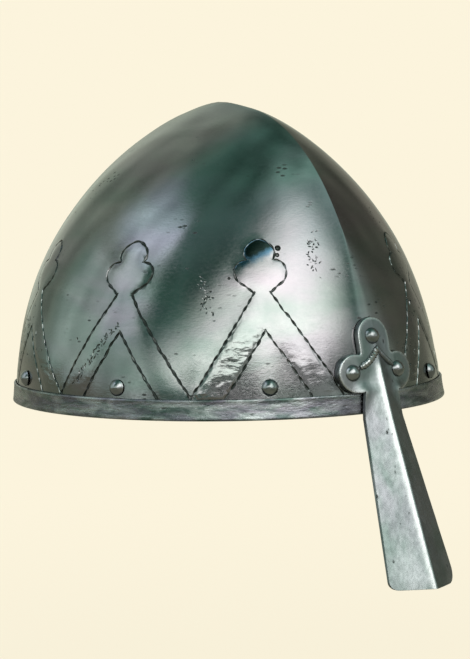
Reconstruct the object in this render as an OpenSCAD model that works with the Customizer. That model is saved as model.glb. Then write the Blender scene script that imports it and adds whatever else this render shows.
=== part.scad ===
// Nasal helmet: a one-piece raised steel skull with a creased crown, a folded rim band,
// a riveted nasal guard with a trefoil plate, and a riveted leather liner.
// Millimetres, +Z up. The origin is the middle of the rim's underside and the front is -Y.
// A bearing is an angle from the front, positive towards -X, the wearer's right.

/* [Skull] */
// Half the skull's length, front to back, at its edge
skull_half_len = 116; // [108:1:124]
// Half the skull's width at its edge
skull_half_wid = 102; // [94:1:110]
// Height of the apex above the rim's underside
skull_h = 145; // [135:1:160]
// Thickness of the skull's plate
skull_t = 2; // [1.6:0.1:2.4]
// How far up the front and back stay steep
len_round = 1.68; // [1.5:0.01:2]
// How blunt the crown is, seen from the side
len_power = 0.41; // [0.38:0.01:0.5]
// How far up the sides stay steep
wid_round = 2.5; // [2.2:0.05:3]
// How blunt the crown is, seen from the front
wid_power = 0.84; // [0.7:0.01:0.95]
// Rise of the crease along the middle, more is flatter
crease = 0.03; // [0.01:0.005:0.06]

/* [Frieze] */
// Width of a chased line
chase_w = 1.4; // [1:0.1:2]
// Depth of a chased line
chase_depth = 0.5; // [0.3:0.1:0.8]
// Half the width over a motif's legs, at the band
foot_half = 36; // [33:0.5:37]
// Half the width between a motif's legs, at the band
inner_foot_half = 20; // [16:0.5:24]
// Height at which the inner lines of the legs meet
inner_top_z = 40; // [34:0.5:46]
// Height of the neck, where the legs end
neck_z = 56.5; // [52:0.5:60]
// Half the width of the neck
neck_half = 3.8; // [2:0.1:5]
// Half the width of the bulb over the neck
bulb_half = 12; // [9:0.5:14]
// Height of the bulb over the neck
bulb_h = 14.8; // [12:0.2:18]
// Half the width of the top lobe
top_half = 6.9; // [5:0.1:8]
// Height of the top lobe over the bulb
top_h = 9.3; // [6:0.1:12]

/* [Rim band] */
// Height of the band outside the skull
band_h = 9.6; // [8:0.1:10]
// Height of the band's leg inside the skull
band_in_h = 6; // [4:0.1:7]
// Thickness of the band's strip
band_t = 1.2; // [1:0.1:1.6]
// Width of the butt seam at the back
band_seam = 0.4; // [0.2:0.1:1]

/* [Nasal guard] */
// Thickness of the guard, in its plate and at the rim
guard_t = 2; // [1.6:0.1:2.4]
// Thickness of the bar at its tip
tip_t = 1.3; // [1:0.1:2]
// How far the hand-fitted guard sits to the wearer's left of the crease
guard_shift = 1.2; // [0:0.1:1.5]
// Radius of the two lower lobes
lobe_r = 8.7; // [8:0.1:8.8]
// Radius of the top lobe
top_lobe_r = 8.9; // [8:0.1:10]
// Distance of a lower lobe from the guard's middle
lobe_x = 12.7; // [12:0.1:14]
// Height of the lower lobes above the rim's underside
lobe_z = 18.7; // [18.6:0.1:21]
// Height of the top lobe above the rim's underside
top_lobe_z = 34.7; // [34.6:0.1:38]
// Half the bar's width at the rim
bar_half_w = 11; // [10:0.1:13]
// Half the bar's width at its tip
tip_half_w = 18.6; // [16:0.1:24]
// Length of the bar below the rim
bar_drop = 76.3; // [60:0.1:95]
// Height above the band over which the bar steps back to the plate
joggle_h = 6; // [2:0.5:8]
// Lean of the bar's edges, forward from plumb
bar_lean = 18; // [10:0.5:25]
// Height of the bar's ridge over its edges at the rim
ridge_h = 5.8; // [4:0.1:8]
// Height of the bar's ridge over its edges at the tip
tip_ridge_h = 9.4; // [6:0.1:12]
// Slant of the tip, lower on the wearer's left
tip_slant = 0.5; // [0:0.5:4]
// Radius of the tip's corner on the wearer's right
tip_r_right = 4; // [2:0.5:8]
// Radius of the tip's corner on the wearer's left
tip_r_left = 11; // [4:0.5:12]
// Radius of the half-round chevron bead
bead_r = 1.4; // [1:0.1:1.9]

/* [Rivets] */
// Distance of the guard's lower rivets from the crease
low_rivet_x = 12.8; // [12:0.1:14]
// Head diameter of the guard's rivets
guard_head_d = 7.4; // [5:0.1:8]
// Head height of the guard's rivets
guard_head_h = 2.4; // [1.5:0.1:3]
// Head diameter of the rim rivets
rim_head_d = 7.6; // [6:0.1:9]
// Head height of the rim rivets
rim_head_h = 2.4; // [1.5:0.1:3.4]
// Shank diameter of all the rivets
shank_d = 3.2; // [2.4:0.1:4]
// Diameter of the hammered tails
tail_d = 5.4; // [5:0.1:6]
// Height of the hammered tails
tail_h = 1.2; // [0.8:0.1:1.4]
// Diameter of the washers
washer_d = 8.4; // [7:0.1:9]
// Thickness of the washers
washer_t = 1; // [0.6:0.1:1.4]
// Height of the rim rivets above the rim's underside
rim_rivet_z = 14.4; // [14:0.1:15]
// Bearing of the first rim rivet from the front
first_rivet_angle = 30.7; // [26:0.1:34]

/* [Liner] */
// Thickness of the liner's leather
leather_t = 2; // [1.5:0.1:2.4]
// Height of the liner band's lower edge
liner_z = 8; // [7.5:0.1:9]
// Height of the liner band's upper edge
liner_top = 29; // [28:0.5:29.5]
// Height of the tongues' lower edge
tongue_z = 24.5; // [24.5:0.5:26]
// How far the tongues' tips reach under the crown patch
tongue_lap = 10; // [6:0.5:11]
// Half the spread of a tongue at its root
tongue_root_angle = 17.5; // [15:0.5:17.5]
// Half the spread of a tongue at its tip
tongue_tip_angle = 12; // [6:0.5:18]
// Drop of the crown patch's edge below the apex
patch_drop = 24; // [21:1:30]

/* [Hidden] */

// Clearance between curved sheets that lie on each other
fit = 0.1;
// Clearance round a rivet's shank
hole_fit = 0.15;
// Clearance of soft leather from what it lies on
soft_fit = 0.25;
// Clearance of a flat washer from the hollow face that it lies on
washer_fit = 0.35;
// How much faster the crown rises than the walls move out, from one nested form to the next
crown_gain = 1.2;
// Columns and rows of the skull's plate
cols = 72;
rows = 20;
// Columns of the leather parts
soft_cols = 48;

// The motifs share the way round like the rivets below them; the front two lean apart
motif_count = 9;
first_motif_angle = 30.4;
motif_lean_angle = 2.5;
lean_height = 80;

tongues = 8;
patch_z = skull_h - patch_drop;
tongue_top = patch_z + tongue_lap;
rim_rivet_count = 9;
// The rim rivets share the way round evenly, apart from the front, where the guard is
rivet_pitch = (360 - 2 * first_rivet_angle) / (rim_rivet_count - 1);
rim_bearings = [for (i = [0:rim_rivet_count - 1]) first_rivet_angle + i * rivet_pitch];

// Depths inward from the skull's outer face; outside it they are negative
band_out = -fit - band_t;
guard_in = -fit;
guard_out = guard_in - guard_t;
band_in = skull_t + fit;
liner_out = skull_t + soft_fit;
liner_in = liner_out + leather_t;
tongue_out = liner_in + soft_fit;
tongue_in = tongue_out + leather_t;
patch_out = tongue_in + soft_fit;
patch_in = patch_out + leather_t;

bead_gap = 0.2;
bead_reach = guard_head_d / 2 + bead_r + bead_gap;
bead_top_z = top_lobe_z - bead_reach;

// Places of the guard's rivets as [across, height]
guard_rivet_places = [[0, top_lobe_z], [-low_rivet_x, lobe_z], [low_rivet_x, lobe_z]];

// The skull's form

function crown_z(d) = skull_h - crown_gain * d;

function fall(s, p, q) = pow(max(0, 1 - pow(s, p)), q);

function half_len(z, d) = (skull_half_len - d) * fall(z / crown_z(d), len_round, len_power);

function half_wid(z, d) = (skull_half_wid - d) * fall(z / crown_z(d), wid_round, wid_power);

// Half width of a level section at c, its place along the length from -1 to 1:
// an ellipse at the rim, and a lens with a corner at each end further up
function lens(c, z, d) =
    let (r = 1 + crease * z / crown_z(d), e = sqrt(r * r - 1))
    (sqrt(r * r - c * c) - e) / (r - e);

// Point of the form that lies d inside the skull's outer face
function form(z, v, d) =
    [-sign(sin(v)) * half_wid(z, d) * lens(cos(v), z, d), -half_len(z, d) * cos(v), z];

// Forward face at x across of a plain elliptical arch, which is flatter than the crease
function arch_y(x, z, d) = -half_len(z, d) * sqrt(1 - pow(x / half_wid(z, d), 2));

// Bearing at which a form lies x across
function bearing_at(x, z, d = 0) =
    let (r = 1 + crease * max(0, z) / crown_z(d), e = sqrt(r * r - 1))
    let (across = abs(x) / half_wid(z, d) * (r - e) + e)
    -sign(x) * acos(min(1, sqrt(r * r - across * across)));

// Forward face of a form at x across
function form_y(x, z, d) = form(z, bearing_at(x, z, d), d).y;

// Outward direction of the skull's face
function facing(z, v) =
    let (step = 0.05, a = form(z, v + step, 0) - form(z, v - step, 0))
    let (b = form(z + step, v, 0) - form(z - step, v, 0), n = cross(b, a))
    n / norm(n);

// Height of row k, closer together towards the crown
function row_z(k, n, z0, z1) = z0 + (z1 - z0) * (1 - pow(1 - k / n, 2));

// Sheets and hoops

function tris(a, b, c, d) = [[a, b, c], [a, c, d]];

// Sheet between two grids of points, as [row][column]. A closed sheet goes all the way
// round, and peaks, as [outer, inner], close it at the top.
module sheet(outer, inner, closed = false, peaks = []) {
    r = len(outer);
    c = len(outer[0]);
    base = r * c;
    last = closed ? c - 1 : c - 2;
    grids = concat([for (row = outer) each row], [for (row = inner) each row], peaks);
    walls = [for (k = [0:r - 2], j = [0:last])
        let (o = k * c + j, p = k * c + (j + 1) % c, i = base + o, q = base + p)
        each concat(tris(o, p, p + c, o + c), tris(i, i + c, q + c, q))];
    foot = [for (j = [0:last])
        let (p = (j + 1) % c)
        each tris(p, j, base + j, base + p)];
    top = [for (j = [0:last])
        let (o = (r - 1) * c + j, p = (r - 1) * c + (j + 1) % c)
        each len(peaks) > 0
            ? [[o, p, 2 * base], [base + p, base + o, 2 * base + 1]]
            : tris(o, p, base + p, base + o)];
    ends = closed ? [] : [for (k = [0:r - 2])
        let (o = k * c, p = k * c + c - 1)
        each concat(
            tris(o, o + c, base + o + c, base + o),
            tris(p + c, p, base + p, base + p + c))];
    polyhedron(grids, concat(walls, foot, top, ends), convexity = 6);
}

// Hoop through closed sections, one after the other round the helmet
module hoop(sections) {
    n = len(sections);
    m = len(sections[0]);
    faces = [for (k = [0:n - 1], j = [0:m - 1])
        let (a = k * m, b = (k + 1) % n * m, i = (j + 1) % m)
        each tris(a + j, b + j, b + i, a + i)];
    polyhedron([for (s = sections) each s], faces, convexity = 6);
}

// Grid of points on a form, all the way round
function ring_grid(zs, n, d) = [for (z = zs) [for (j = [0:n - 1]) form(z, 360 * j / n, d)]];

// Grid of points on a form, from one bearing to another
function patch_grid(zs, n, d, from, to) =
    [for (z = zs) [for (j = [0:n]) form(z, from + (to - from) * j / n, d)]];

// Puts its children on the skull's outer face, with +Z outward
module on_skin(z, v) {
    n = facing(z, v);
    translate(form(z, v, 0))
        rotate([0, acos(n.z), atan2(n.y, n.x)])
            children();
}

module at_rim_rivets() {
    for (v = rim_bearings)
        on_skin(rim_rivet_z, v) children();
}

module at_guard_rivets() {
    for (p = guard_rivet_places)
        on_skin(p[1], bearing_at(p[0], p[1])) children();
}

// The lower guard rivets, which also go through the liner
module at_low_guard_rivets() {
    for (i = [1:2])
        on_skin(lobe_z, bearing_at(guard_rivet_places[i][0], lobe_z)) children();
}

module drill() {
    hole_len = 40;
    cylinder(h = hole_len, d = shank_d + 2 * hole_fit, center = true, $fn = 32);
}

// Round-headed rivet along Z: its head stands on z = seat, its tail ends at z = -depth
module rivet(head_d, head_h, seat, depth) {
    dome_r = (pow(head_d / 2, 2) + head_h * head_h) / (2 * head_h);
    rotate_extrude($fn = 48) {
        translate([0, seat])
            intersection() {
                translate([0, head_h - dome_r]) circle(r = dome_r, $fn = 96);
                square([head_d / 2, head_h]);
            }
        translate([0, -depth]) square([shank_d / 2, depth + seat + head_h / 2]);
        translate([0, -depth]) square([tail_d / 2, tail_h]);
    }
}

module washer() {
    rotate_extrude($fn = 48)
        translate([shank_d / 2 + hole_fit, 0])
            square([(washer_d - shank_d) / 2 - hole_fit, washer_t]);
}

// The pieces

// Bearing of the middle of motif m at height z
function motif_bearing(m, z) =
    let (pitch = (360 - 2 * first_motif_angle) / (motif_count - 1))
    let (lean = m == 0 ? 1 : m == motif_count - 1 ? -1 : 0)
    first_motif_angle + m * pitch + lean * motif_lean_angle * z / lean_height;

// Distance along the skin for each degree of bearing
function skin_speed(z, v) = norm(form(z, v + 0.5, 0) - form(z, v - 0.5, 0));

// Place on the skin of p, its distance from the middle of motif m and its height. The feet
// of neighbouring motifs meet at the band.
function on_motif(m, p, d) =
    let (v = motif_bearing(m, p.y))
    let (foot_angle = (180 - first_motif_angle) / (motif_count - 1))
    let (spread = skin_speed(band_h, v) / skin_speed(p.y, v))
    form(p.y, v - p.x / foot_half * foot_angle * spread, d);

// Points from a to b, without b
function steps(a, b, n) = [for (i = [0:n - 1]) a + (b - a) * i / n];

// Right half of a motif's outline, from its foot to its top, as [distance, height]
function motif_half() =
    let (bulb = [[0.37, 0.19], [0.9, 0.39], [1, 0.59], [0.92, 0.79], [0.72, 0.93]])
    let (top = [[0.85, 0], [1, 0.28], [0.9, 0.55], [0.57, 0.83]])
    let (waist_z = neck_z + bulb_h)
    concat(
        steps([foot_half, band_h], [neck_half, neck_z], 5),
        [[neck_half, neck_z]],
        [for (b = bulb)
            [neck_half + (bulb_half - neck_half) * b.x, neck_z + bulb_h * b.y]],
        [for (t = top) [top_half * t.x, waist_z + top_h * t.y]],
        [[0, waist_z + top_h]]);

function mirrored(half) =
    concat(half, [for (i = [len(half) - 2:-1:0]) [-half[i].x, half[i].y]]);

// Unit direction across the line from a to b
function across(a, b) = let (d = (b - a) / norm(b - a)) [-d.y, d.x];

// Chisel cut along a line of motif m: a V-section that stands clear of the skin, mitred
module chased_line(m, line) {
    last = len(line) - 1;
    clear = 0.4;
    half = chase_w / 2 * (1 + clear / chase_depth);
    sections = [for (k = [0:last])
        let (a = across(line[max(k - 1, 0)], line[max(k, 1)]))
        let (b = across(line[min(k, last - 1)], line[min(k + 1, last)]))
        let (mitre = (a + b) / (1 + a * b) * half)
        [
            on_motif(m, line[k] - mitre, -clear),
            on_motif(m, line[k], chase_depth),
            on_motif(m, line[k] + mitre, -clear)
        ]];
    walls = [for (k = [0:last - 1], j = [0:2])
        let (o = 3 * k, i = (j + 1) % 3)
        each tris(o + j, o + j + 3, o + i + 3, o + i)];
    polyhedron(
        [for (s = sections) each s],
        concat(walls, [[0, 1, 2], [3 * last + 2, 3 * last + 1, 3 * last]]),
        convexity = 6);
}

module frieze() {
    inner = concat(
        steps([inner_foot_half, band_h], [0, inner_top_z], 3), [[0, inner_top_z]]);
    for (m = [0:motif_count - 1]) {
        chased_line(m, mirrored(motif_half()));
        chased_line(m, mirrored(inner));
    }
}

module skull() color("slategray") {
    difference() {
        sheet(
            ring_grid([for (k = [0:rows - 1]) row_z(k, rows, band_t, crown_z(0))], cols, 0),
            ring_grid([for (k = [0:rows - 1]) row_z(k, rows, band_t, crown_z(skull_t))],
                cols, skull_t),
            closed = true,
            peaks = [[0, 0, crown_z(0)], [0, 0, crown_z(skull_t)]]);
        frieze();
        at_rim_rivets() drill();
        at_guard_rivets() drill();
    }
}

// Section of the band at a bearing: a strip folded round the skull's edge, with its outer
// corners eased. It runs up the outside, over the top, and round the inside.
function band_section(v) =
    let (ease = band_t / 2, inner = band_in + band_t)
    [
        form(0, v, band_out + ease),
        form(ease, v, band_out),
        form(band_h - ease / 2, v, band_out),
        form(band_h, v, band_out + ease / 2),
        form(band_h, v, -fit),
        form(band_t, v, -fit),
        form(band_t, v, band_in),
        form(band_in_h, v, band_in),
        form(band_in_h, v, inner),
        form(ease, v, inner),
        form(0, v, inner - ease)
    ];

module rim_band() color("dimgray") {
    reach = skull_t + 2 * band_t + 4;
    difference() {
        hoop([for (j = [0:cols - 1]) band_section(360 * j / cols)]);
        translate([-band_seam / 2, skull_half_len - reach / 2 - skull_t, -1])
            cube([band_seam, reach, band_h + 2]);
    }
}

// Points of an arc that rounds the corner p between its neighbours
function corner(before, p, after, r, n = 8) =
    let (u = (before - p) / norm(before - p), w = (after - p) / norm(after - p))
    let (half = acos(u * w) / 2, m = (u + w) / norm(u + w), c = p + m * r / sin(half))
    let (from = p + u * r / tan(half) - c, to = p + w * r / tan(half) - c)
    let (a0 = atan2(from.y, from.x), turn = atan2(cross(from, to), from * to))
    [for (i = [0:n]) c + r * [cos(a0 + turn * i / n), sin(a0 + turn * i / n)]];

// Half the bar's width at height z
function bar_half(z) = bar_half_w - (tip_half_w - bar_half_w) * z / bar_drop;

// Elevation of the bar, x across and height
module bar_outline(top) {
    tip_right = [-tip_half_w, tip_slant - bar_drop];
    tip_left = [tip_half_w, -tip_slant - bar_drop];
    head_right = [-bar_half(top), top];
    head_left = [bar_half(top), top];
    polygon(concat(
        [head_right],
        corner(head_right, tip_right, tip_left, tip_r_right),
        corner(tip_right, tip_left, head_left, tip_r_left),
        [head_left]));
}

module trefoil_outline() {
    translate([0, top_lobe_z]) circle(r = top_lobe_r, $fn = 64);
    translate([-top_lobe_r, lobe_z - lobe_r / 2])
        square([2 * top_lobe_r, top_lobe_z - lobe_z + lobe_r / 2]);
    for (side = [-1, 1])
        translate([side * lobe_x, lobe_z]) circle(r = lobe_r, $fn = 64);
}

// Extrudes an elevation from front to back through the guard
module elevation() {
    front = skull_half_len + 60;
    back = skull_half_len - 40;
    translate([guard_shift, -back, 0])
        rotate([90, 0, 0])
            linear_extrude(front - back) children();
}

// Front of the bar's edges and of its ridge at height z
function edge_y(z) = -rim_edge_y + z * tan(bar_lean);
function ridge_y(z) =
    edge_y(z) - ridge_h + (tip_ridge_h - ridge_h) * min(0, z) / bar_drop;

// The bar's edges stand clear of the band, also on the side that the shift brings nearer
bar_gap = 3 * fit;
rim_edge_y = -arch_y(bar_half_w - guard_shift, 0, band_out) + bar_gap + guard_t;

// V-shaped strip of the bar, wider than its outline, as [height, edge, ridge, thickness]
// levels: in the trefoil plate, above the joggle, over the band, at the rim, past the tip
module bar_strip() {
    wide = 1.1;
    spare = 12;
    top = lobe_z + lobe_r - fit;
    over = band_h + bar_gap;
    seat = over + joggle_h;
    past = -bar_drop - spare;
    levels = [
        [top, arch_y(bar_half(top), top, guard_out) + guard_t / 2, ridge_y(top), guard_t - bar_gap],
        [seat, arch_y(bar_half(seat), seat, guard_out) + fit, ridge_y(seat), guard_t - fit],
        [over, edge_y(0), ridge_y(over), guard_t],
        [0, edge_y(0), ridge_y(0), guard_t],
        [past, edge_y(past), ridge_y(past), tip_t]
    ];
    last = len(levels) - 1;
    function out(l) =
        let (w = wide * bar_half(l[0]), slope = (l[1] - l[2]) / bar_half(l[0]))
        [for (side = [1, 0, -1]) [side * w + guard_shift, l[2] + abs(side) * slope * w, l[0]]];
    outer = [for (k = [last:-1:0]) out(levels[k])];
    inner = [for (k = [last:-1:0]) [for (p = out(levels[k])) p + [0, levels[k][3], 0]]];
    sheet(outer, inner);
}

// Tube along a path of points, round rings of the given radii, in n sides
module tube(path, radii, n) {
    last = len(path) - 1;
    rings = [for (k = [0:last])
        let (t = path[min(k + 1, last)] - path[max(k - 1, 0)])
        let (u = cross(t, [0, -1, 0]), s = u / norm(u), w = cross(s, t) / norm(t))
        [for (j = [0:n - 1]) path[k] + radii[k] * (cos(360 * j / n) * s + sin(360 * j / n) * w)]];
    walls = [for (k = [0:last - 1], j = [0:n - 1])
        let (a = k * n, i = (j + 1) % n)
        each tris(a + j, a + i, a + n + i, a + n + j)];
    caps = [for (j = [1:n - 2])
        each [[0, j + 1, j], [last * n, last * n + j, last * n + j + 1]]];
    polyhedron([for (r = rings) each r], concat(walls, caps), convexity = 4);
}

// Chevron bead on the trefoil plate: its arms run from under the top rivet to the lower
// ones, bow a little towards the bar, and stop short of the rivets' heads
module bead() {
    sides = 10;
    bow = 0.5;
    // Shares of an arm's length, and of the bead's radius there
    arm = [[0, 1], [0.3, 1], [0.65, 1], [0.85, 0.95], [0.95, 0.75], [1, 0.4]];
    last = len(arm) - 1;
    apex = [guard_shift, bead_top_z];
    function foot(side) =
        let (way = [side * low_rivet_x, lobe_z] - apex)
        way * (1 - bead_reach / norm(way));
    function at(side, f) =
        let (lift = bow * 4 * f * (1 - f))
        let (p = apex + foot(side) * f - lift * [side, 1])
        [p.x, arch_y(p.x, p.y, guard_out), p.y];
    path = concat(
        [for (k = [last:-1:1]) at(-1, arm[k][0])],
        [for (k = [0:last]) at(1, arm[k][0])]);
    radii = bead_r * concat([for (k = [last:-1:1]) arm[k][1]], [for (k = [0:last]) arm[k][1]]);
    tube(path, radii, sides);
}

// Trefoil plate: its back lies on the skull, and its front is a flatter arch
module trefoil_plate() {
    columns = 16;
    row_step = 4;
    margin = 2;
    half = lobe_x + lobe_r + guard_shift + margin;
    zs = [for (z = [lobe_z - lobe_r - 1:row_step:top_lobe_z + top_lobe_r + row_step]) z];
    xs = [for (j = [0:columns]) half * (1 - 2 * j / columns)];
    intersection() {
        sheet(
            [for (z = zs) [for (x = xs) [x, arch_y(x, z, guard_out), z]]],
            [for (z = zs) [for (x = xs) [x, form_y(x, z, guard_in), z]]]);
        elevation() trefoil_outline();
    }
}

module nasal_guard() color("lightsteelblue") {
    difference() {
        union() {
            trefoil_plate();
            intersection() {
                bar_strip();
                elevation() bar_outline(lobe_z + lobe_r);
            }
            bead();
        }
        at_guard_rivets() drill();
    }
}

// How far a low rivet's head stands off the skull, so that its flat underside clears the
// plate, which it meets at a slight angle
low_lean_angle = 4;
low_seat =
    let (n = facing(lobe_z, bearing_at(low_rivet_x, lobe_z)))
    let (gap = form_y(low_rivet_x, lobe_z, 0) - arch_y(low_rivet_x, lobe_z, guard_out))
    gap * -n.y + guard_head_d / 2 * sin(low_lean_angle);

// Depth of a washer's inner face: the top one bridges the hollow of the crease, and the
// others lie on the liner
crease_gap = form_y(washer_d / 2, top_lobe_z, skull_t) - form_y(0, top_lobe_z, skull_t);
top_washer_in = skull_t + crease_gap + washer_fit + washer_t;
washer_in = liner_in + washer_fit + washer_t;

module guard_rivets() color("silver") {
    top_seat = fit - guard_out;
    on_skin(top_lobe_z, 0) rivet(guard_head_d, guard_head_h, top_seat, top_washer_in + tail_h);
    at_low_guard_rivets() rivet(guard_head_d, guard_head_h, low_seat, washer_in + tail_h);
}

module guard_washers() color("gray") {
    on_skin(top_lobe_z, 0) translate([0, 0, -top_washer_in]) washer();
    at_low_guard_rivets() translate([0, 0, -washer_in]) washer();
}

module rim_rivets() color("silver") {
    at_rim_rivets() rivet(rim_head_d, rim_head_h, fit, washer_in + tail_h);
}

module rim_washers() color("gray") {
    at_rim_rivets() translate([0, 0, -washer_in]) washer();
}

module liner_band() color("saddlebrown") {
    steps = 3;
    zs = [for (k = [0:steps]) liner_z + (liner_top - liner_z) * k / steps];
    difference() {
        sheet(ring_grid(zs, cols, liner_out), ring_grid(zs, cols, liner_in), closed = true);
        at_rim_rivets() drill();
        at_low_guard_rivets() drill();
    }
}

module crown_patch() color("saddlebrown") {
    steps = 5;
    sheet(
        ring_grid([for (k = [0:steps - 1]) row_z(k, steps, patch_z, crown_z(patch_out))],
            soft_cols, patch_out),
        ring_grid([for (k = [0:steps - 1]) row_z(k, steps, patch_z, crown_z(patch_in))],
            soft_cols, patch_in),
        closed = true,
        peaks = [[0, 0, crown_z(patch_out)], [0, 0, crown_z(patch_in)]]);
}

// Row of points across a tongue, narrower towards its tip
function tongue_row(z, v, d, n) =
    let (t = (z - tongue_z) / (tongue_top - tongue_z))
    let (half = tongue_root_angle + (tongue_tip_angle - tongue_root_angle) * t)
    [for (j = [0:n]) form(z, v + half * (2 * j / n - 1), d)];

module liner_tongue(i) color("peru") {
    rows_up = 8;
    columns = 5;
    v = 360 * (i - 0.5) / tongues;
    zs = [for (k = [0:rows_up]) tongue_z + (tongue_top - tongue_z) * sin(90 * k / rows_up)];
    sheet(
        [for (z = zs) tongue_row(z, v, tongue_out, columns)],
        [for (z = zs) tongue_row(z, v, tongue_in, columns)]);
}

skull();
rim_band();
nasal_guard();
guard_rivets();
guard_washers();
rim_rivets();
rim_washers();
liner_band();
crown_patch();
for (i = [1:tongues])
    liner_tongue(i);
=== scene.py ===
import math
import random

import bpy
from mathutils import Matrix, Vector, noise
from mathutils.bvhtree import BVHTree


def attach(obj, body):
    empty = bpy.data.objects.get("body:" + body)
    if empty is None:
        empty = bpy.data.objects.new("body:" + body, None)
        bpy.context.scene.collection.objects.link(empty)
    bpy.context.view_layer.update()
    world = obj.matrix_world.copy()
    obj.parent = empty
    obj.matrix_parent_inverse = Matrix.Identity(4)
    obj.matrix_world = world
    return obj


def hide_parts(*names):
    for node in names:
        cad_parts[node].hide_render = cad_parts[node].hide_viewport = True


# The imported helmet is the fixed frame. Metres, +Z up, the front is -Y, and the origin is the
# middle of the rim's underside. A bearing is an angle in degrees from the front, positive
# towards -X, the wearer's right. A depth is measured inward from the skull's outer face.
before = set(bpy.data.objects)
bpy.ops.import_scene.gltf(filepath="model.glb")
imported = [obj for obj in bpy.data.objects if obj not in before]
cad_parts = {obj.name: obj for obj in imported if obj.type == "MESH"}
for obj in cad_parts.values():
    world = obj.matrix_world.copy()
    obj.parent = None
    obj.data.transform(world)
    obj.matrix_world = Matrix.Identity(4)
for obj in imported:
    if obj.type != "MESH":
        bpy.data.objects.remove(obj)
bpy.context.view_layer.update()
MM = 0.001

# Skull
# One plate of mild steel, raised over stakes to a blunt point with a crease along the middle,
# planished and darkened in oil. Its edge stands in the fold of the rim band.
SKULL_HALF_LEN, SKULL_HALF_WID, SKULL_HEIGHT = 116 * MM, 102 * MM, 145 * MM
SKULL_THICK = 2 * MM
SKULL_EDGE_Z = 1.2 * MM
LEN_ROUND, LEN_POWER = 1.68, 0.41
WID_ROUND, WID_POWER = 2.5, 0.84
CREASE, CROWN_GAIN = 0.03, 1.2
PLANISHED_AWAY, WORKED_AWAY = 0.22 * MM, 0.35 * MM
BROW_ROUND, BROW_FROM, BROW_FULL = 5.5 * MM, 84 * MM, 46 * MM
POINT_HEIGHT, POINT_REACH = 1.7 * MM, 26 * MM


def crown_z(depth):
    return SKULL_HEIGHT - CROWN_GAIN * depth


def climb_at(z, depth):
    """Share of the way from the rim to the crown."""
    return min(1, max(0, z / crown_z(depth)))


def half_len(z, depth):
    return (SKULL_HALF_LEN - depth) * (1 - climb_at(z, depth) ** LEN_ROUND) ** LEN_POWER


def half_wid(z, depth):
    return (SKULL_HALF_WID - depth) * (1 - climb_at(z, depth) ** WID_ROUND) ** WID_POWER


def lens_at(z, depth):
    """Radius of the two circles whose overlap is a level section, and how far apart they are."""
    r = 1 + CREASE * max(0, z / crown_z(depth))
    return r, math.sqrt(r * r - 1)


def form(z, bearing, depth):
    """Point of the helmet's form, which is an ellipse at the rim and a lens further up."""
    along, across = math.cos(math.radians(bearing)), math.sin(math.radians(bearing))
    r, e = lens_at(z, depth)
    lens = (math.sqrt(max(0, r * r - along * along)) - e) / (r - e)
    side = -math.copysign(1, across) * half_wid(z, depth) * lens
    return Vector((side, -half_len(z, depth) * along, z))


def bearing_at(x, z, depth=0.0):
    """Bearing at which the form lies x across."""
    r, e = lens_at(z, depth)
    lens = abs(x) / half_wid(z, depth) * (r - e) + e
    along = min(1, math.sqrt(max(0, r * r - lens * lens)))
    return -math.copysign(math.degrees(math.acos(along)), x)


def bearing_of(v):
    """Bearing of a point of the skin."""
    bearing = abs(bearing_at(v.x, v.z))
    bearing = bearing if v.y < 0 else 180 - bearing
    return bearing if v.x < 0 else 360 - bearing


def facing(z, bearing):
    """Outward direction of the skull's face."""
    step = 0.05
    a = form(z, bearing + step, 0) - form(z, bearing - step, 0)
    b = form(z + step * MM, bearing, 0) - form(z - step * MM, bearing, 0)
    return b.cross(a).normalized()


def pick(*pieces):
    """Makes these pieces the only ones selected, and the first of them the active one."""
    bpy.ops.object.select_all(action="DESELECT")
    for piece in pieces:
        piece.select_set(True)
    bpy.context.view_layer.objects.active = pieces[0]


def renamed(piece, name):
    piece.name = piece.data.name = name
    return piece


def made(name, primitive, **settings):
    """Adds one of Blender's own primitives, under a name."""
    primitive(**settings)
    return renamed(bpy.context.object, name)


def shape(piece, place):
    """Moves each point of a piece to where place says."""
    for v in piece.data.vertices:
        v.co = place(v.co.copy())
    piece.data.update()


def finish_with(piece, kind, **settings):
    """Adds a modifier and applies it."""
    pick(piece)
    modifier = piece.modifiers.new(kind.title(), kind)
    for key, value in settings.items():
        setattr(modifier, key, value)
    bpy.ops.object.modifier_apply(modifier=modifier.name)


def edit(piece):
    """Goes into a piece's mesh, with all of it selected."""
    pick(piece)
    bpy.ops.object.mode_set(mode="EDIT")
    bpy.ops.mesh.select_all(action="SELECT")


def leave():
    bpy.ops.object.mode_set(mode="OBJECT")


def outward(piece):
    """Welds a piece's seams and turns its faces outward."""
    edit(piece)
    bpy.ops.mesh.remove_doubles(threshold=0.004 * MM)
    bpy.ops.mesh.normals_make_consistent(inside=False)
    leave()


def joined(pieces):
    pick(*pieces)
    if len(pieces) > 1:
        bpy.ops.object.join()
    return bpy.context.object


def combine(piece, tool, operation="DIFFERENCE"):
    """Cuts a piece with a tool, or joins the two into one solid."""
    finish_with(piece, "BOOLEAN", operation=operation, solver="MANIFOLD", object=tool)
    bpy.data.objects.remove(tool)


def carved(piece, tools):
    """Cuts a piece with all the tools at once."""
    tool = joined(tools)
    outward(tool)
    combine(piece, tool)


def smooth(piece, angle):
    pick(piece)
    bpy.ops.object.shade_smooth_by_angle(angle=math.radians(angle))


def ripple(p, size, depth, seed=0.0):
    """Small rise and fall of hand-worked metal at p, over waves of that size."""
    return depth * noise.noise(p / size + Vector((seed, 3 * seed, 7 * seed)))


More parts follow.
